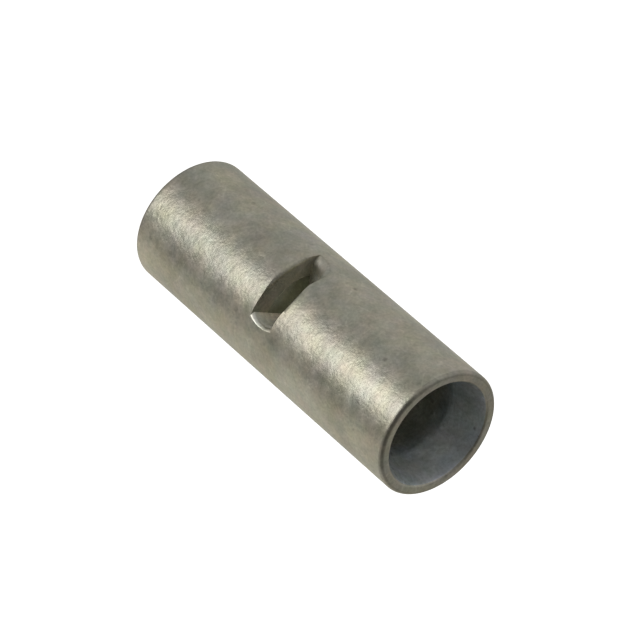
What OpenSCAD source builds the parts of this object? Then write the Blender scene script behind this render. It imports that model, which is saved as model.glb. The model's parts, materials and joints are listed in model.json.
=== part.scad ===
// Bare butt splice connector: a seamless tinned copper barrel that takes a stripped wire in each end.
// A strip of the wall is slit across at mid-length and pressed inward, and both wires stop against it.
// The barrel stands on one end. The pressed stop faces -Y.

/* [Barrel] */
// Outside diameter of the barrel
barrel_od = 5.2; // [4.8:0.05:6]
// Diameter of the wire bore
bore_d = 3.6; // [3.2:0.05:3.8]
// Length of the barrel
barrel_len = 15.2; // [11:0.1:24]
// Rounding of the outer edge at each end, left by tumbling
edge_r = 0.15; // [0.04:0.01:0.2]

/* [Mouths] */
// Diameter of the lead-in bevel where it meets the end face
mouth_d = 4.4; // [4:0.02:4.5]
// Length of the lead-in bevel
bevel_len = 1.55; // [0.8:0.05:2]
// Rounding of the lip between the end face and the bevel
lip_r = 0.1; // [0.04:0.01:0.16]

/* [Wire stop] */
// Width of the pressed strip along the barrel
stop_w = 1.2; // [0.9:0.05:1.6]
// Angle round the barrel from one end of the slits to the other
stop_span = 73; // [68:1:84]
// Slope of the strip's two legs, from the plane of its floor
stop_slope = 53; // [50:1:60]
// Height of the strip's outer face above the barrel's axis
stop_floor = 0.9; // [0.75:0.05:1.1]
// Thickness of the strip's floor, drawn thinner than the wall
strip_t = 0.62; // [0.5:0.02:0.7]
// Bend radius on the strip's underside, between its floor and its legs
under_bend_r = 0.6; // [0.2:0.05:0.8]
// How far one end of the pocket bows out past the slits
end_bow = 0.18; // [0.14:0.01:0.4]
// Radius of the round corner at the other end of the pocket, which cuts the upper slit short
corner_r = 1.1; // [1:0.01:1.4]
// Radius where the barrel's skin folds over into the pocket's bowed end
fold_r = 0.16; // [0.1:0.01:0.25]
// Radius where the barrel's skin folds over into the pocket's round corner
corner_fold_r = 0.4; // [0.3:0.01:0.45]
// Rounding that the punch draws along the two slit edges, at its largest
slit_edge_r = 0.2; // [0.1:0.01:0.24]

/* [Press mark in the bore] */
// How far the press draws the bore in at mid-length
neck_in = 0.04; // [0.02:0.01:0.08]
// Length of bore that is drawn in
neck_len = 1.6; // [1.4:0.05:2]

/* [Hidden] */
$fn = 96;

outer_r = barrel_od / 2;
bore_r = bore_d / 2;
mouth_r = mouth_d / 2;
wall = outer_r - bore_r;
mid_z = barrel_len / 2;
bevel_angle = atan((mouth_r - bore_r) / bevel_len);
// Room that a cutting shape takes past the skin
past_skin = 1;

// Section of the stop: x runs round the barrel and y out through the middle of the pocket
half_span = stop_span / 2;
leg_dir = [cos(stop_slope), sin(stop_slope)];
leg_normal = [sin(stop_slope), -cos(stop_slope)];
slit_end = skin_point(half_span);
under_y = stop_floor - strip_t;
leg_under = slit_end + wall * leg_normal;
under_corner = [leg_under.x - (leg_under.y - under_y) / tan(stop_slope), under_y];

// Each end of the pocket is part of a round scoop that lies along the leg
bow_r = (pow(stop_w / 2, 2) + pow(end_bow, 2)) / (2 * end_bow);
bow_axis = slit_end - (bow_r - end_bow) * leg_normal;
corner_axis = slit_end - corner_r * leg_normal;
// The corner stays this far inside the upper slit, and the tops of the folds this far outside the skin,
// so that these surfaces cross instead of touching
corner_inside = 0.01;
fold_lift = 0.008;
corner_across = stop_w / 2 - corner_inside - corner_r;
// The wedge between the two scoops reaches past their axes by this much. Its sides meet at the tip.
overlap = 0.1;
bow_side = bow_axis + overlap * leg_normal;
corner_side = corner_axis + overlap * leg_normal;
rise = tan(stop_slope);
tip_x = (bow_side.y - corner_side.y) / (2 * rise) + (corner_side.x - bow_side.x) / 2;
tip = [tip_x, corner_side.y - (corner_side.x - tip_x) * rise];

// The drawn edge of each slit: where its middle lies from the middle of the stop,
// and how far it runs to each side
upper_roll_turn = 8;
upper_roll_half = 26;
lower_roll_turn = -8;
lower_roll_half = 34;

function skin_point(angle) = outer_r * [sin(angle), cos(angle)];

// Sharp tip of a corner, outside a rounding of radius r. The corner turns by the angle "turn".
// Its first side runs towards -x from the corner, and its second side leaves along second_dir.
module corner_tip(corner, second_dir, turn, r) {
    reach = r * tan(turn / 2);
    centre = corner + [-reach, r];
    difference() {
        polygon([corner, corner + [-reach, 0], centre, corner + reach * second_dir]);
        translate(centre) circle(r);
    }
}

// Half section of the barrel wall, radius along x and height along y
module wall_section() {
    difference() {
        translate([bore_r, 0]) square([wall, barrel_len]);
        lower_end_cuts();
        translate([0, barrel_len]) mirror([0, 1]) lower_end_cuts();
    }
    polygon([
        [bore_r, mid_z - neck_len / 2],
        [bore_r - neck_in, mid_z],
        [bore_r, mid_z + neck_len / 2],
        [bore_r + neck_in, mid_z]
    ]);
}

// What one end of the wall loses: the lead-in bevel and the two roundings of the end face
module lower_end_cuts() {
    polygon([[bore_r, 0], [mouth_r, 0], [bore_r, bevel_len]]);
    corner_tip([outer_r, 0], [0, 1], 90, edge_r);
    mirror([1, 0])
        corner_tip([-mouth_r, 0], [sin(bevel_angle), cos(bevel_angle)], 90 - bevel_angle, lip_r);
}

// What lies between the pocket's two round ends: a wedge that opens outwards
module wedge_section() {
    corner_rim = corner_side + leg_dir * outer_r;
    bow_rim = bow_side + leg_dir * outer_r;
    polygon([tip, corner_rim, [-bow_rim.x, bow_rim.y]]);
}

// Outline of the strip's block: it ends in the wall and fills the bore down to the strip's underside
module strip_section() {
    top = outer_r + past_skin;
    rim = under_corner + leg_dir * (top - under_y) / sin(stop_slope);
    intersection() {
        circle(outer_r - wall / 2);
        difference() {
            polygon([[-under_corner.x, under_y], under_corner, rim, [-rim.x, rim.y]]);
            for (side = [0, 1])
                mirror([side, 0]) corner_tip(under_corner, leg_dir, stop_slope, under_bend_r);
        }
    }
}

// Round end of the pocket with the skin folded over into it.
// It reaches a little past its axis into the wedge.
// Its axis lies at the place "across" along the barrel, and its end lies "bow" past the end of the slits.
// The skin folds over with the radius "fold".
module end_scoop(r, axis, across, bow, fold) {
    fold_middle = skin_point(half_span + (bow + fold / 2) / outer_r * 180 / PI);
    fold_drop = (slit_end - fold_middle) * leg_dir - fold_lift;
    depth = (axis.y - stop_floor) / sin(stop_slope) + r - fold_drop;
    translate([axis.x, axis.y, across])
        rotate([0, 0, stop_slope])
            rotate([0, 90, 0])
                translate([0, 0, -fold_drop])
                    rotate([0, 0, 170])
                        rotate_extrude(angle = 200) scoop_section(r, depth, fold);
}

// The part of a shape that lies past a place round the barrel
module beyond(place) {
    intersection() {
        children();
        translate([place, -barrel_od, -barrel_od]) cube(2 * barrel_od);
    }
}

// Half section of the scoop: a straight round bottom that flares into the skin
module scoop_section(r, depth, fold) {
    translate([0, -depth]) square([r, depth + past_skin]);
    difference() {
        translate([0, -fold]) square([r + fold, fold + past_skin]);
        translate([r + fold, -fold]) circle(fold);
    }
}

// Everything that the punch opens: the pocket between the slits, above the strip, and the drawn slit edges
module pocket() {
    intersection() {
        union() {
            linear_extrude(barrel_od, center = true) wedge_section();
            mirror([1, 0, 0]) beyond(-tip.x - overlap) end_scoop(bow_r, bow_axis, 0, end_bow, fold_r);
        }
        translate([-barrel_od, stop_floor, -stop_w / 2]) cube([2 * barrel_od, barrel_od, stop_w]);
    }
    intersection() {
        beyond(tip.x - overlap) end_scoop(corner_r, corner_axis, corner_across, 0, corner_fold_r);
        translate([-barrel_od, stop_floor, -stop_w / 2]) cube([2 * barrel_od, barrel_od, barrel_od]);
    }
    rotate([0, 0, upper_roll_turn]) slit_edge(upper_roll_half);
    mirror([0, 0, 1]) rotate([0, 0, lower_roll_turn]) slit_edge(lower_roll_half);
}

// What the rounding takes off one slit edge.
// It follows a flatter arc than the skin, so it runs out to both sides.
module slit_edge(roll_half) {
    roll_end = skin_point(roll_half);
    roll_sag = outer_r - roll_end.y - slit_edge_r;
    roll_r = (pow(roll_end.x, 2) + pow(roll_sag, 2)) / (2 * roll_sag);
    // The arc lies this far outside the skin at the middle, so that the two surfaces cross
    roll_lift = slit_edge_r / 20;
    translate([0, outer_r - roll_r + roll_lift, stop_w / 2])
        rotate([0, 0, 90 - roll_half])
            rotate_extrude(angle = 2 * roll_half) slit_edge_section(roll_r);
}

// Section of that rounding, radius along x and place along the barrel along y
module slit_edge_section(roll_r) {
    difference() {
        translate([roll_r - slit_edge_r, -slit_edge_r / 2])
            square([slit_edge_r + past_skin, 1.5 * slit_edge_r]);
        translate([roll_r - slit_edge_r, slit_edge_r]) circle(slit_edge_r);
    }
}

module splice_barrel() {
    color("#9b978a")
        difference() {
            union() {
                rotate_extrude() wall_section();
                at_stop() linear_extrude(stop_w, center = true) strip_section();
            }
            at_stop() pocket();
        }
}

// Places the stop at mid-length, facing -Y
module at_stop() {
    translate([0, 0, mid_z]) rotate([0, 0, 180]) children();
}

splice_barrel();
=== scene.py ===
import json
import math

import bmesh
import bpy
from mathutils import Matrix, Vector


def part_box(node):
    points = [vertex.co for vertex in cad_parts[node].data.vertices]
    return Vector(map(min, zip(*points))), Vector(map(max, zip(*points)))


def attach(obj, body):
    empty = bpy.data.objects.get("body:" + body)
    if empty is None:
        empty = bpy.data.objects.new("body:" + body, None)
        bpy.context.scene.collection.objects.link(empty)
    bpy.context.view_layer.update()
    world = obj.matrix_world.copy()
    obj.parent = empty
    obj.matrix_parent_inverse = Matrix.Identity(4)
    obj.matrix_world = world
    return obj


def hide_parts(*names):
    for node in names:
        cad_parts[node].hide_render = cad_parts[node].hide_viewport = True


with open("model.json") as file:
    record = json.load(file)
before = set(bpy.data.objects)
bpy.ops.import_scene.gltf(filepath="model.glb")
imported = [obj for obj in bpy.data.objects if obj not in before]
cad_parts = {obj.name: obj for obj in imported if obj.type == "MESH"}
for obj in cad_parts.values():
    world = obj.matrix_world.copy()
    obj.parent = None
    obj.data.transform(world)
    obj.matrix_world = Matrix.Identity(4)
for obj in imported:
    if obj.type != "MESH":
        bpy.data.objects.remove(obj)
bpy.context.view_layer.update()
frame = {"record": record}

# The barrel: a seamless copper tube, sawn to length, with a lead-in bevel reamed into both mouths.
# It is tumbled afterwards, so the edges of its end faces are rounded over.
MM = 0.001
lowest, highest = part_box("splice_barrel")
outer_r = highest.x
barrel_len = highest.z - lowest.z
mid_z = barrel_len / 2
mounts = {mount["name"]: mount for mount in frame["record"]["mounts"]}
wire_bore = mounts["upper_wire_bore"]
bore_r = wire_bore["dims"]["r_mm"] * MM
bore_half_len = wire_bore["dims"]["length_mm"] * MM / 2
bevel_z = barrel_len - wire_bore["pos_m"][2] - bore_half_len
neck_half_len = wire_bore["pos_m"][2] - bore_half_len - mid_z
mouth_r = 2.2 * MM
edge_r = 0.15 * MM
lip_r = 0.1 * MM
neck_in = 0.04 * MM
row_step = 0.13 * MM
round_steps = 6
columns = 240
same_place = 0.0001 * MM
same_corner = 0.001 * MM


def draw_outline(name, points):
    """A closed outline in a mesh of its own, left in edit mode.

    It is drawn by extruding one vertex from point to point.
    """
    bpy.ops.object.select_all(action="DESELECT")
    bpy.ops.mesh.primitive_plane_add(size=MM, location=(0, 0, 0))
    outline = bpy.context.object
    outline.name = name
    bpy.ops.object.mode_set(mode="EDIT")
    bpy.ops.mesh.merge(type="CENTER")
    bpy.ops.transform.translate(value=points[0])
    for here, there in zip(points, points[1:]):
        bpy.ops.mesh.extrude_region_move(TRANSFORM_OT_translate={"value": there - here})
    bpy.ops.mesh.select_all(action="SELECT")
    bpy.ops.mesh.edge_face_add()
    return outline


def pick(parts, test):
    """Selects the vertices or edges of the mesh in edit mode that pass the test."""
    shape = bmesh.from_edit_mesh(bpy.context.object.data)
    bpy.ops.mesh.select_all(action="DESELECT")
    for part in filter(test, getattr(shape, parts)):
        part.select_set(True)
    shape.select_flush_mode()
    bmesh.update_edit_mesh(bpy.context.object.data)


def near(place, corners):
    """Whether a place lies on one of the corners."""
    return any((place - corner).length < same_corner for corner in corners)


def spin_round(steps, angle, centre, axis):
    """Spins the whole outline into a closed skin with its faces outwards."""
    bpy.ops.mesh.select_all(action="SELECT")
    bpy.ops.mesh.spin(steps=steps, angle=angle, center=centre, axis=axis)
    bpy.ops.mesh.select_all(action="SELECT")
    bpy.ops.mesh.remove_doubles(threshold=same_place)
    bpy.ops.mesh.normals_make_consistent(inside=False)


outer_corners = [Vector((outer_r, 0, 0)), Vector((outer_r, 0, barrel_len))]
lip_corners = [Vector((mouth_r, 0, 0)), Vector((mouth_r, 0, barrel_len))]
barrel = draw_outline("tinned_barrel", [
    outer_corners[0],
    outer_corners[1],
    lip_corners[1],
    Vector((bore_r, 0, barrel_len - bevel_z)),
    Vector((bore_r, 0, mid_z + neck_half_len)),
    Vector((bore_r - neck_in, 0, mid_z)),
    Vector((bore_r, 0, mid_z - neck_half_len)),
    Vector((bore_r, 0, bevel_z)),
    lip_corners[0],
])
lip_turn = math.radians(90) - math.atan2(mouth_r - bore_r, bevel_z)
for corners, reach in ((outer_corners, edge_r), (lip_corners, lip_r * math.tan(lip_turn / 2))):
    pick("verts", lambda vert: near(vert.co, corners))
    bpy.ops.mesh.bevel(offset=reach, segments=round_steps, affect="VERTICES", clamp_overlap=False)
bpy.ops.mesh.select_all(action="SELECT")
bpy.ops.mesh.delete(type="ONLY_FACE")
outline_edges = bmesh.from_edit_mesh(barrel.data).edges
long_edges = [edge.calc_length() for edge in outline_edges if edge.calc_length() > 2 * row_step]
for edge_len in long_edges:
    pick("edges", lambda edge: abs(edge.calc_length() - edge_len) < same_place)
    bpy.ops.mesh.subdivide(number_cuts=round(edge_len / row_step) - 1)
spin_round(columns, math.tau, (0, 0, 0), (0, 0, 1))
bpy.ops.object.mode_set(mode="OBJECT")

# The wire stop: a strip of the barrel's wall, slit across on both sides and pressed in by a punch.
# Its two legs are still part of the wall. The slits leave a gap into the bore above the strip's floor.
stop_w = 1.2 * MM
stop_half_span = math.radians(36.5)
stop_slope = math.radians(53)
stop_floor = 0.9 * MM
strip_t = 0.62 * MM
under_bend_r = 0.6 * MM
arc_steps = 24
wall_t = outer_r - bore_r
leg_dir = Vector((math.cos(stop_slope), -math.sin(stop_slope), 0))
leg_normal = Vector((math.sin(stop_slope), math.cos(stop_slope), 0))


def skin_point(angle, radius):
    """A point of a circle round the barrel's axis, by its angle from the middle of the stop."""
    return Vector((radius * math.sin(angle), -radius * math.cos(angle), 0))


def leg_at(point, depth):
    """Where the line along the leg through a point reaches a height above the barrel's axis."""
    return point + leg_dir * (point.y + depth) / math.sin(stop_slope)


def mirrored(points):
    """The same points on the other side of the stop's middle, in the order that closes an outline."""
    return [Vector((-point.x, point.y, point.z)) for point in reversed(points)]


def extrude_across(low_z, height):
    """Makes the filled outline in edit mode a solid that runs across the strip's width."""
    bpy.ops.mesh.select_all(action="SELECT")
    bpy.ops.transform.translate(value=(0, 0, low_z))
    bpy.ops.mesh.extrude_region_move(TRANSFORM_OT_translate={"value": (0, 0, height)})
    bpy.ops.mesh.select_all(action="SELECT")
    bpy.ops.mesh.normals_make_consistent(inside=False)
    bpy.ops.object.mode_set(mode="OBJECT")


slit_end = skin_point(stop_half_span, outer_r)
leg_under = slit_end + wall_t * leg_normal
under_corner = leg_at(leg_under, stop_floor - strip_t)
block_r = outer_r - wall_t / 2
leg_offset = leg_under.dot(leg_normal)
block_end = leg_offset * leg_normal + math.sqrt(block_r ** 2 - leg_offset ** 2) * leg_dir
block_half_span = math.atan2(block_end.x, -block_end.y)
block_arc = [
    skin_point(block_half_span * (1 - step / arc_steps), block_r)
    for step in range(arc_steps)
]
strip = draw_outline("stop_strip", mirrored([under_corner] + block_arc) + [under_corner] + block_arc)
pick("verts", lambda vert: near(vert.co, [under_corner] + mirrored([under_corner])))
under_reach = under_bend_r * math.tan(stop_slope / 2)
bpy.ops.mesh.bevel(offset=under_reach, segments=round_steps, affect="VERTICES", clamp_overlap=False)
extrude_across(mid_z - stop_w / 2, stop_w)

# The pocket above the strip: the skin folds over at both ends and lies along the legs.
# One end bows out between the slits. The other has a round corner that cuts the upper slit short.
end_bow = 0.18 * MM
corner_r = 1.1 * MM
corner_inside = 0.01 * MM
fold_r = 0.16 * MM
corner_fold_r = 0.4 * MM
fold_lift = 0.008 * MM
overlap = 0.1 * MM
past_skin = 1 * MM
past_barrel = 2 * outer_r
well_past_barrel = 3 * outer_r
scoop_half_turn = math.radians(100)
turn_steps = 3 * arc_steps
bow_r = ((stop_w / 2) ** 2 + end_bow ** 2) / (2 * end_bow)
bow_axis = slit_end - (bow_r - end_bow) * leg_normal
corner_axis = slit_end - corner_r * leg_normal
corner_z = mid_z + stop_w / 2 - corner_inside - corner_r
bow_side = bow_axis + overlap * leg_normal
corner_side = corner_axis + overlap * leg_normal
rise = math.tan(stop_slope)
tip_x = (bow_side.x - corner_side.x) / 2 - (corner_side.y - bow_side.y) / (2 * rise)


def combine(target, operation, other):
    """Applies another solid to the target and removes it."""
    cut = target.modifiers.new(operation.lower(), "BOOLEAN")
    cut.operation = operation
    cut.solver = "EXACT"
    cut.object = other
    bpy.context.view_layer.objects.active = target
    bpy.ops.object.modifier_apply(modifier=cut.name)
    bpy.data.objects.remove(other)


def box_between(name, first_x, last_x, low_y, high_y, low_z, height):
    """A plain box in a mesh of its own."""
    box = draw_outline(name, [
        Vector((first_x, low_y, 0)),
        Vector((last_x, low_y, 0)),
        Vector((last_x, high_y, 0)),
        Vector((first_x, high_y, 0)),
    ])
    extrude_across(low_z, height)
    return box


def end_scoop(side, radius, axis, height, bow, fold):
    """A little more than half of a round scoop along one leg, flared where the skin folds over into it."""
    depth = radius - (axis.y + stop_floor) / math.sin(stop_slope)
    fold_middle = skin_point(stop_half_span + (bow + fold / 2) / outer_r, outer_r)
    fold_level = (fold_middle - slit_end).dot(leg_dir) + fold_lift
    profile = [(0, past_skin), (0, -depth), (radius, -depth)]
    for step in range(arc_steps + 1):
        turn = math.radians(90) * step / arc_steps
        profile.append((radius + fold * (1 - math.cos(turn)), fold_level + fold * (math.sin(turn) - 1)))
    profile.append((radius + fold, past_skin))
    scoop = draw_outline("pocket_end", [
        Vector((out * math.cos(scoop_half_turn), out * math.sin(scoop_half_turn), level))
        for out, level in profile
    ])
    spin_round(turn_steps, 2 * scoop_half_turn, (0, 0, 0), (0, 0, 1))
    bpy.ops.object.mode_set(mode="OBJECT")
    along = Vector((side * leg_dir.x, leg_dir.y, 0))
    outward = Vector((side * leg_normal.x, leg_normal.y, 0))
    lean = Matrix((outward, along.cross(outward), along)).transposed().to_4x4()
    scoop.data.transform(Matrix.Translation((side * axis.x, axis.y, height)) @ lean)
    own_sides = (tip_x - side * overlap, side * well_past_barrel, -well_past_barrel, well_past_barrel)
    combine(scoop, "INTERSECT", box_between("own_side", *own_sides, 0, barrel_len))
    return scoop


bow_rim = bow_side + outer_r * leg_dir
corner_rim = corner_side + outer_r * leg_dir
wedge_tip = Vector((tip_x, corner_side.y + (corner_side.x + tip_x) * rise, 0))
pocket = draw_outline("stop_pocket", [wedge_tip, bow_rim] + mirrored([corner_rim]))
extrude_across(mid_z - outer_r, 2 * outer_r)
combine(pocket, "UNION", end_scoop(1, bow_r, bow_axis, mid_z, end_bow, fold_r))
slot_sides = (-past_barrel, past_barrel, -well_past_barrel, -stop_floor, mid_z - stop_w / 2)
combine(pocket, "INTERSECT", box_between("slot_between_slits", *slot_sides, stop_w))
corner = end_scoop(-1, corner_r, corner_axis, corner_z, 0, corner_fold_r)
combine(corner, "INTERSECT", box_between("room_above_lower_slit", *slot_sides, past_barrel))
combine(pocket, "UNION", corner)

# The drawn edges of the slits: the punch pulls the skin down before it shears the wall.
# Each edge is rounded most near the middle of its slit and runs out to both sides.
slit_edge_r = 0.2 * MM
roll_lift = slit_edge_r / 20
edge_steps = 2 * round_steps
upper_roll = (1, math.radians(8), math.radians(26))
lower_roll = (-1, math.radians(-8), math.radians(34))
for side, roll_turn, roll_half in (upper_roll, lower_roll):
    roll_end = skin_point(roll_half, outer_r)
    roll_sag = outer_r + roll_end.y - slit_edge_r
    roll_r = (roll_end.x ** 2 + roll_sag ** 2) / (2 * roll_sag)
    roll_centre = skin_point(roll_turn, outer_r - roll_r + roll_lift)
    slit_z = mid_z + side * stop_w / 2
    inside_z = slit_z - side * slit_edge_r / 2
    outside_z = slit_z + side * slit_edge_r
    profile = []
    for step in range(edge_steps + 1):
        turn = math.radians(90) * step / edge_steps
        level = slit_z + side * slit_edge_r * (1 - math.cos(turn))
        profile.append((roll_r - slit_edge_r * (1 - math.sin(turn)), level))
    profile += [(roll_r + past_skin, outside_z), (roll_r + past_skin, inside_z)]
    profile.append((roll_r - slit_edge_r, inside_z))
    ring = draw_outline("drawn_slit_edge", [
        roll_centre + skin_point(roll_turn + roll_half, out) + Vector((0, 0, level))
        for out, level in profile
    ])
    spin_round(turn_steps, 2 * roll_half, roll_centre, (0, 0, 1))
    bpy.ops.object.mode_set(mode="OBJECT")
    combine(pocket, "UNION", ring)
combine(barrel, "UNION", strip)
combine(barrel, "DIFFERENCE", pocket)
sharp_from = math.radians(35)
bpy.ops.object.select_all(action="DESELECT")
barrel.select_set(True)
bpy.context.view_layer.objects.active = barrel
bpy.ops.object.shade_smooth_by_angle(angle=sharp_from)
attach(barrel, "root")
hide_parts("splice_barrel")

# The finish: matt tin, plated on after forming and dulled by tumbling.
# It is grey with patches that lean to olive, to blue-grey and to brown, and a fine grain all over.
blotch_contrast = 0.2
grain_contrast = 0.24
blotch_dulling = 0.1
grain_height = 0.4
bluish = (0.97, 1.0, 1.05, 1)
yellowish = (1.03, 1.0, 0.94, 1)
greenish = (0.98, 1.02, 0.98, 1)
reddish = (1.02, 0.98, 1.01, 1)
tin_finish = bpy.data.node_groups.new("tin_finish", "ShaderNodeTree")
tin_finish.interface.new_socket("Tone", in_out="INPUT", socket_type="NodeSocketColor")
tin_finish.interface.new_socket("Dullness", in_out="INPUT", socket_type="NodeSocketFloat")
tin_finish.interface.new_socket("Color", in_out="OUTPUT", socket_type="NodeSocketColor")
tin_finish.interface.new_socket("Roughness", in_out="OUTPUT", socket_type="NodeSocketFloat")
tin_finish.interface.new_socket("Height", in_out="OUTPUT", socket_type="NodeSocketFloat")
given = tin_finish.nodes.new("NodeGroupInput")
result = tin_finish.nodes.new("NodeGroupOutput")
place = tin_finish.nodes.new("ShaderNodeTexCoord")


def spread(value, start, end, low, high):
    """A value of the finish, taken from one range to another."""
    change = tin_finish.nodes.new("ShaderNodeMapRange")
    change.inputs["From Min"].default_value = start
    change.inputs["From Max"].default_value = end
    change.inputs["To Min"].default_value = low
    change.inputs["To Max"].default_value = high
    tin_finish.links.new(value, change.inputs["Value"])
    return change.outputs["Result"]


def clouds(scale, detail, low=0.0, high=1.0):
    """A cloudy pattern over the tin, spread between two values."""
    noise = tin_finish.nodes.new("ShaderNodeTexNoise")
    noise.inputs["Scale"].default_value = scale
    noise.inputs["Detail"].default_value = detail
    noise.inputs["Roughness"].default_value = 0.6
    tin_finish.links.new(place.outputs["Object"], noise.inputs["Vector"])
    return spread(noise.outputs["Fac"], start=0.3, end=0.7, low=low, high=high)


def worked(operation, *values):
    """The result of a sum on values of the finish."""
    step = tin_finish.nodes.new("ShaderNodeMath")
    step.operation = operation
    for socket, value in zip(step.inputs, values):
        if isinstance(value, float):
            socket.default_value = value
        else:
            tin_finish.links.new(value, socket)
    return step.outputs["Value"]


def tinted(colour, first, second, share):
    """A colour of the finish, leaning to one tint or the other."""
    lean = tin_finish.nodes.new("ShaderNodeMix")
    lean.data_type = "RGBA"
    lean.inputs["A"].default_value = first
    lean.inputs["B"].default_value = second
    tin_finish.links.new(share, lean.inputs["Factor"])
    product = tin_finish.nodes.new("ShaderNodeVectorMath")
    product.operation = "MULTIPLY"
    tin_finish.links.new(colour, product.inputs[0])
    tin_finish.links.new(lean.outputs["Result"], product.inputs[1])
    return product.outputs["Vector"]


patches = clouds(scale=560, detail=3, low=0.85, high=1.15)
blotches = clouds(scale=2600, detail=2)
grain = clouds(scale=9000, detail=3)
blotch_tone = worked("MULTIPLY_ADD", blotches, blotch_contrast, 1 - blotch_contrast / 2)
grain_tone = worked("MULTIPLY_ADD", grain, grain_contrast, 1 - grain_contrast / 2)
brightness = worked("MULTIPLY", patches, worked("MULTIPLY", blotch_tone, grain_tone))

# Tumbling has left short pale scratches and a few small pits in the tin.
# The scratches are straight and lie in groups. The pits lie where the blotches are pale.
facets = tin_finish.nodes.new("ShaderNodeTexVoronoi")
facets.feature = "DISTANCE_TO_EDGE"
facets.inputs["Scale"].default_value = 1100
tin_finish.links.new(place.outputs["Object"], facets.inputs["Vector"])
scratch_line = spread(facets.outputs["Distance"], start=0.01, end=0.04, low=1.0, high=0.0)
scratch_group = spread(clouds(scale=1500, detail=1), start=0.6, end=0.8, low=0.0, high=0.13)
scratch = worked("MULTIPLY", scratch_line, scratch_group)
cells = tin_finish.nodes.new("ShaderNodeTexVoronoi")
cells.inputs["Scale"].default_value = 1000
tin_finish.links.new(place.outputs["Object"], cells.inputs["Vector"])
pit_place = spread(cells.outputs["Distance"], start=0.04, end=0.13, low=1.0, high=0.0)
pit_depth = spread(blotches, start=0.3, end=0.6, low=0.0, high=0.35)
pit = worked("MULTIPLY", pit_place, pit_depth)
brightness = worked("MULTIPLY", brightness, worked("ADD", 1.0, worked("SUBTRACT", scratch, pit)))
tone = tinted(given.outputs["Tone"], bluish, yellowish, clouds(scale=800, detail=2))
tone = tinted(tone, greenish, reddish, clouds(scale=1300, detail=2))
shade = tin_finish.nodes.new("ShaderNodeVectorMath")
shade.operation = "SCALE"
tin_finish.links.new(tone, shade.inputs[0])
tin_finish.links.new(brightness, shade.inputs["Scale"])
tin_finish.links.new(shade.outputs["Vector"], result.inputs["Color"])
dullness = worked("ADD", given.outputs["Dullness"], worked("MULTIPLY", blotches, blotch_dulling))
tin_finish.links.new(dullness, result.inputs["Roughness"])
height = worked("ADD", blotches, worked("MULTIPLY", grain, grain_height))
tin_finish.links.new(height, result.inputs["Height"])

# The looks of the tin: matt on the skin, grey in the bore, dull where it was sawn or sheared.
# The legs at the pocket's ends are painted paler than the skin, as painted light, and the fold at the
# bowed end is painted bright, as a painted highlight.
glancing_tint = (0.88, 0.88, 0.88, 1)
bore_mouth_tone = (0.7, 0.73, 0.74, 1)
bore_wall_tone = (0.68, 0.69, 0.63, 1)
# Painted shade: a dark brown tone for the deep bore next to the stop.
bore_deep_shade_tone = (0.34, 0.33, 0.21, 1)


def tin(name, tone, dullness, unevenness):
    """One look of the tin: its tone, how dull it is and how uneven its surface is."""
    material = bpy.data.materials.new(name)
    material.use_nodes = True
    tree = material.node_tree
    shader = tree.nodes["Principled BSDF"]
    shader.inputs["Metallic"].default_value = 1.0
    shader.inputs["Specular Tint"].default_value = glancing_tint
    finish = tree.nodes.new("ShaderNodeGroup")
    finish.node_tree = tin_finish
    finish.inputs["Tone"].default_value = tone
    finish.inputs["Dullness"].default_value = dullness
    bump = tree.nodes.new("ShaderNodeBump")
    bump.inputs["Distance"].default_value = unevenness
    tree.links.new(finish.outputs["Color"], shader.inputs["Base Color"])
    tree.links.new(finish.outputs["Roughness"], shader.inputs["Roughness"])
    tree.links.new(finish.outputs["Height"], bump.inputs["Height"])
    tree.links.new(bump.outputs["Normal"], shader.inputs["Normal"])
    barrel.data.materials.append(material)
    return tree, finish


barrel.data.materials.clear()
tin("matt_tin_skin", tone=(0.52, 0.50, 0.41, 1), dullness=0.36, unevenness=0.0085 * MM)
bore_tree, bore_finish = tin("grey_tin_bore", tone=bore_wall_tone, dullness=0.5, unevenness=0.004 * MM)
tin("sawn_end", tone=(0.54, 0.52, 0.44, 1), dullness=0.45, unevenness=0.014 * MM)
tin("sheared_slit_face", tone=(0.49, 0.48, 0.42, 1), dullness=0.5, unevenness=0.01 * MM)
# Painted light: the leg at the bowed end gets a pale tone so that it looks lit.
tin("pressed_leg", tone=(0.9, 0.86, 0.76, 1), dullness=0.6, unevenness=0.005 * MM)
# Painted light: the leg at the round corner gets a tone lighter than the skin so that it looks lit like
# the skin.
tin("pressed_corner", tone=(0.6, 0.58, 0.49, 1), dullness=0.5, unevenness=0.005 * MM)
tin("tumbled_edge", tone=(0.43, 0.41, 0.34, 1), dullness=0.4, unevenness=0.01 * MM)
# Painted highlight: the fold at the bowed end gets a bright tone that widens its highlight.
tin("rubbed_fold", tone=(0.82, 0.79, 0.69, 1), dullness=0.4, unevenness=0.005 * MM)

# In the bore the tone changes with the depth: blue-grey at the mouth, grey on the wall
# and dark brown next to the stop. The darkening towards the stop is painted shade deep in the bore.
bore_place = bore_tree.nodes.new("ShaderNodeTexCoord")
from_middle = bore_tree.nodes.new("ShaderNodeVectorMath")
from_middle.operation = "SUBTRACT"
from_middle.inputs[1].default_value = (0, 0, mid_z)
bore_tree.links.new(bore_place.outputs["Object"], from_middle.inputs[0])
along_bore = bore_tree.nodes.new("ShaderNodeSeparateXYZ")
bore_tree.links.new(from_middle.outputs["Vector"], along_bore.inputs["Vector"])
from_mid_length = bore_tree.nodes.new("ShaderNodeMath")
from_mid_length.operation = "ABSOLUTE"
bore_tree.links.new(along_bore.outputs["Z"], from_mid_length.inputs[0])
to_mouth = bore_tree.nodes.new("ShaderNodeMapRange")
to_mouth.inputs["From Max"].default_value = mid_z
bore_tree.links.new(from_mid_length.outputs["Value"], to_mouth.inputs["Value"])
bore_shade_by_depth = bore_tree.nodes.new("ShaderNodeValToRGB")
tone_steps = bore_shade_by_depth.color_ramp.elements
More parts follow.
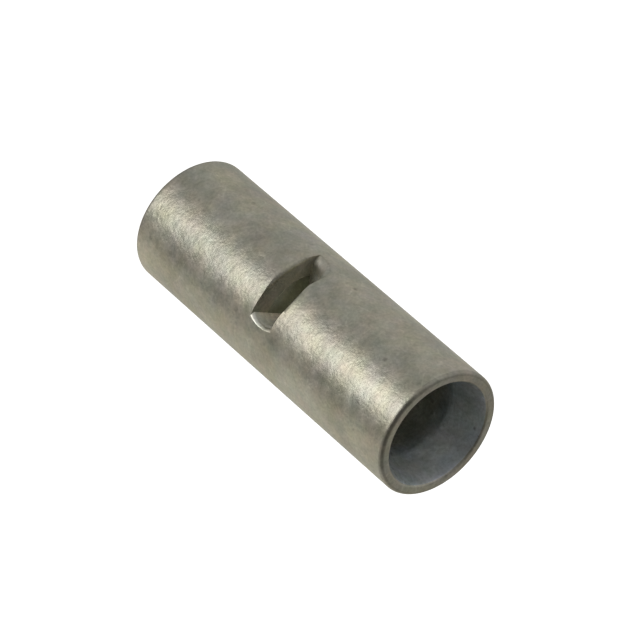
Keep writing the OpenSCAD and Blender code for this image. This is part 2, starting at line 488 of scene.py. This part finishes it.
tone_steps[0].position = 0.4
tone_steps[0].color = bore_deep_shade_tone
tone_steps[1].position = 0.78
tone_steps[1].color = bore_mouth_tone
tone_steps.new(0.56).color = bore_wall_tone
tone_steps.new(0.72).color = bore_wall_tone
bore_tree.links.new(to_mouth.outputs["Result"], bore_shade_by_depth.inputs["Fac"])
bore_tree.links.new(bore_shade_by_depth.outputs["Color"], bore_finish.inputs["Tone"])

# Each face takes its look from where it lies and how it is turned.
# A slant is 0 on a face along the barrel and 1 on a face square to its axis.
edge_slant = 0.12
end_face_slant = 0.5
slit_face_slant = 0.9
skin_facing = 0.995
pressed_below = outer_r - fold_r / 8
looks = {material.name: index for index, material in enumerate(barrel.data.materials)}
for face in barrel.data.polygons:
    from_axis = math.hypot(face.center.x, face.center.y)
    from_stop = abs(face.center.z - mid_z)
    slant = abs(face.normal.z)
    facing_out = (face.center.x * face.normal.x + face.center.y * face.normal.y) / from_axis
    at_end = from_stop > mid_z - edge_r
    at_bowed_end = face.center.x > 0
    between_slits = from_stop < stop_w / 2
    in_pocket = from_stop < stop_w / 2 + slit_edge_r and face.center.y < -stop_floor + same_place
    on_fold = outer_r - fold_r < from_axis and facing_out < skin_facing and between_slits
    pressed = in_pocket and from_axis < pressed_below and between_slits
    if at_end and from_axis > outer_r - edge_r and slant > edge_slant:
        face.material_index = looks["tumbled_edge"]
    elif at_end and slant > end_face_slant:
        face.material_index = looks["sawn_end"]
    elif from_axis < mouth_r and not in_pocket:
        face.material_index = looks["grey_tin_bore"]
    elif in_pocket and from_axis < outer_r - slit_edge_r and slant > slit_face_slant:
        face.material_index = looks["sheared_slit_face"]
    # Painted highlight on the fold at the bowed end.
    elif in_pocket and on_fold and at_bowed_end:
        face.material_index = looks["rubbed_fold"]
    # Painted light on the legs at both ends of the pocket.
    elif pressed and at_bowed_end:
        face.material_index = looks["pressed_leg"]
    elif pressed:
        face.material_index = looks["pressed_corner"]

# The floor: a pale studio table that the barrel stands on.
# It glows evenly, so that it stays plain, and the tin mirrors the room instead of it.
floor_w = 1.6
floor_tone = (0.9, 0.9, 0.9, 1)
bpy.ops.object.select_all(action="DESELECT")
bpy.ops.mesh.primitive_plane_add(size=floor_w, location=(0, 0, 0))
floor = bpy.context.object
floor.name = "studio_floor"
floor_paint = bpy.data.materials.new("pale_floor")
floor_paint.use_nodes = True
floor_shader = floor_paint.node_tree.nodes["Principled BSDF"]
floor_shader.inputs["Base Color"].default_value = floor_tone
floor_shader.inputs["Roughness"].default_value = 0.9
floor_shader.inputs["Emission Color"].default_value = (1, 1, 1, 1)
floor_shader.inputs["Emission Strength"].default_value = 1.0
floor.data.materials.append(floor_paint)
floor.visible_glossy = False
floor.visible_diffuse = False
floor.visible_shadow = False

# The camera: a long lens that looks down past the upper mouth.
# It is rolled, so that the standing barrel lies across the picture.
view_azimuth = math.radians(11.7)
view_elevation = math.radians(37.91)
view_roll = math.radians(131.07)
view_distance = 60 * outer_r
level_right = Vector((math.cos(view_azimuth), math.sin(view_azimuth), 0))
back = Vector((
    math.sin(view_azimuth) * math.cos(view_elevation),
    -math.cos(view_azimuth) * math.cos(view_elevation),
    math.sin(view_elevation),
))
level_up = back.cross(level_right)
right = math.cos(view_roll) * level_right + math.sin(view_roll) * level_up
up = math.cos(view_roll) * level_up - math.sin(view_roll) * level_right
middle = Vector((0, 0, mid_z))
lens_data = bpy.data.cameras.new("photo_lens")
lens_data.sensor_width = 36
lens_data.lens = 239.2
lens_data.shift_x = 0.01313
lens_data.shift_y = 0.00603
lens_data.clip_start = 1 * MM
camera = bpy.data.objects.new("photo_camera", lens_data)
camera_turn = Matrix((right, up, back)).transposed().to_4x4()
camera.matrix_world = Matrix.Translation(middle + view_distance * back) @ camera_turn
bpy.context.collection.objects.link(camera)
bpy.context.scene.camera = camera

# The key light: one large soft box, up and to the left of the barrel as the camera sees it.
# It draws the bright streak along the skin.
key_right = -78.5
key_up = 35.9
key_back = 51.4
key_w = 58 * MM
key_h = 72 * MM
key_watts = 0.029
key_light = bpy.data.lights.new("key_softbox", "AREA")
key_light.shape = "RECTANGLE"
key_light.size = key_w
key_light.size_y = key_h
key_light.energy = key_watts
key_offset = MM * (key_right * right + key_up * up + key_back * back)
key_facing = key_offset.normalized()
key_side = Vector((0, 0, 1)).cross(key_facing).normalized()
key_turn = Matrix((key_side, key_facing.cross(key_side), key_facing)).transposed().to_4x4()
key_box = bpy.data.objects.new("key_softbox", key_light)
key_box.matrix_world = Matrix.Translation(middle + key_offset) @ key_turn
key_box.visible_camera = False
bpy.context.collection.objects.link(key_box)

# The room: soft grey walls and a pale table below, which the tin mirrors.
# It is brighter to the right, and dimmer below the key light, past the mouth and beside the camera.
table_light = 0.67
table_colour = (1, 0.98, 0.9, 1)
wall_colour = (1, 1, 1, 1)
below = (-0.764 * up - 0.645 * back).normalized()
below_key = (-0.98 * right - 0.13 * up - 0.16 * back).normalized()
past_mouth = (0.73 * right - 0.64 * up - 0.25 * back).normalized()
camera_side = (0.8 * back - 0.6 * up).normalized()
room = bpy.data.worlds.new("grey_room")
room.use_nodes = True
room_nodes = room.node_tree.nodes
room_links = room.node_tree.links
direction = room_nodes.new("ShaderNodeTexCoord")


def room_side(toward, start, end, low, high):
    """How bright the room is from one side to the other, between two places along a direction."""
    along = room_nodes.new("ShaderNodeVectorMath")
    along.operation = "DOT_PRODUCT"
    along.inputs[1].default_value = toward
    room_links.new(direction.outputs["Generated"], along.inputs[0])
    change = room_nodes.new("ShaderNodeMapRange")
    change.interpolation_type = "SMOOTHSTEP"
    change.inputs["From Min"].default_value = start
    change.inputs["From Max"].default_value = end
    change.inputs["To Min"].default_value = low
    change.inputs["To Max"].default_value = high
    room_links.new(along.outputs["Value"], change.inputs["Value"])
    return change.outputs["Result"]


def dimmed_by(light, share):
    """The room's light, made dimmer on one side."""
    product = room_nodes.new("ShaderNodeMath")
    product.operation = "MULTIPLY"
    room_links.new(light, product.inputs[0])
    room_links.new(share, product.inputs[1])
    return product.outputs["Value"]


walls = room_side(right, start=-0.4, end=0.35, low=0.35, high=0.53)
below_key_dim = room_side(below_key, start=0.7, end=0.95, low=1.0, high=0.7)
table_share = room_side(below, start=0.25, end=0.42, low=0.0, high=1.0)
past_mouth_dim = room_side(past_mouth, start=0.5, end=0.9, low=1.0, high=0.55)
camera_side_dim = room_side(camera_side, start=0.3, end=0.8, low=1.0, high=0.15)
walls_and_table = room_nodes.new("ShaderNodeMix")
walls_and_table.inputs["B"].default_value = table_light
room_links.new(table_share, walls_and_table.inputs["Factor"])
room_links.new(dimmed_by(walls, below_key_dim), walls_and_table.inputs["A"])
room_light = dimmed_by(dimmed_by(walls_and_table.outputs["Result"], past_mouth_dim), camera_side_dim)
room_links.new(room_light, room_nodes["Background"].inputs["Strength"])
room_colour = room_nodes.new("ShaderNodeMix")
room_colour.data_type = "RGBA"
room_colour.inputs["A"].default_value = wall_colour
room_colour.inputs["B"].default_value = table_colour
room_links.new(table_share, room_colour.inputs["Factor"])
room_links.new(room_colour.outputs["Result"], room_nodes["Background"].inputs["Color"])
bpy.context.scene.world = room
bpy.context.scene.view_settings.view_transform = "Standard"
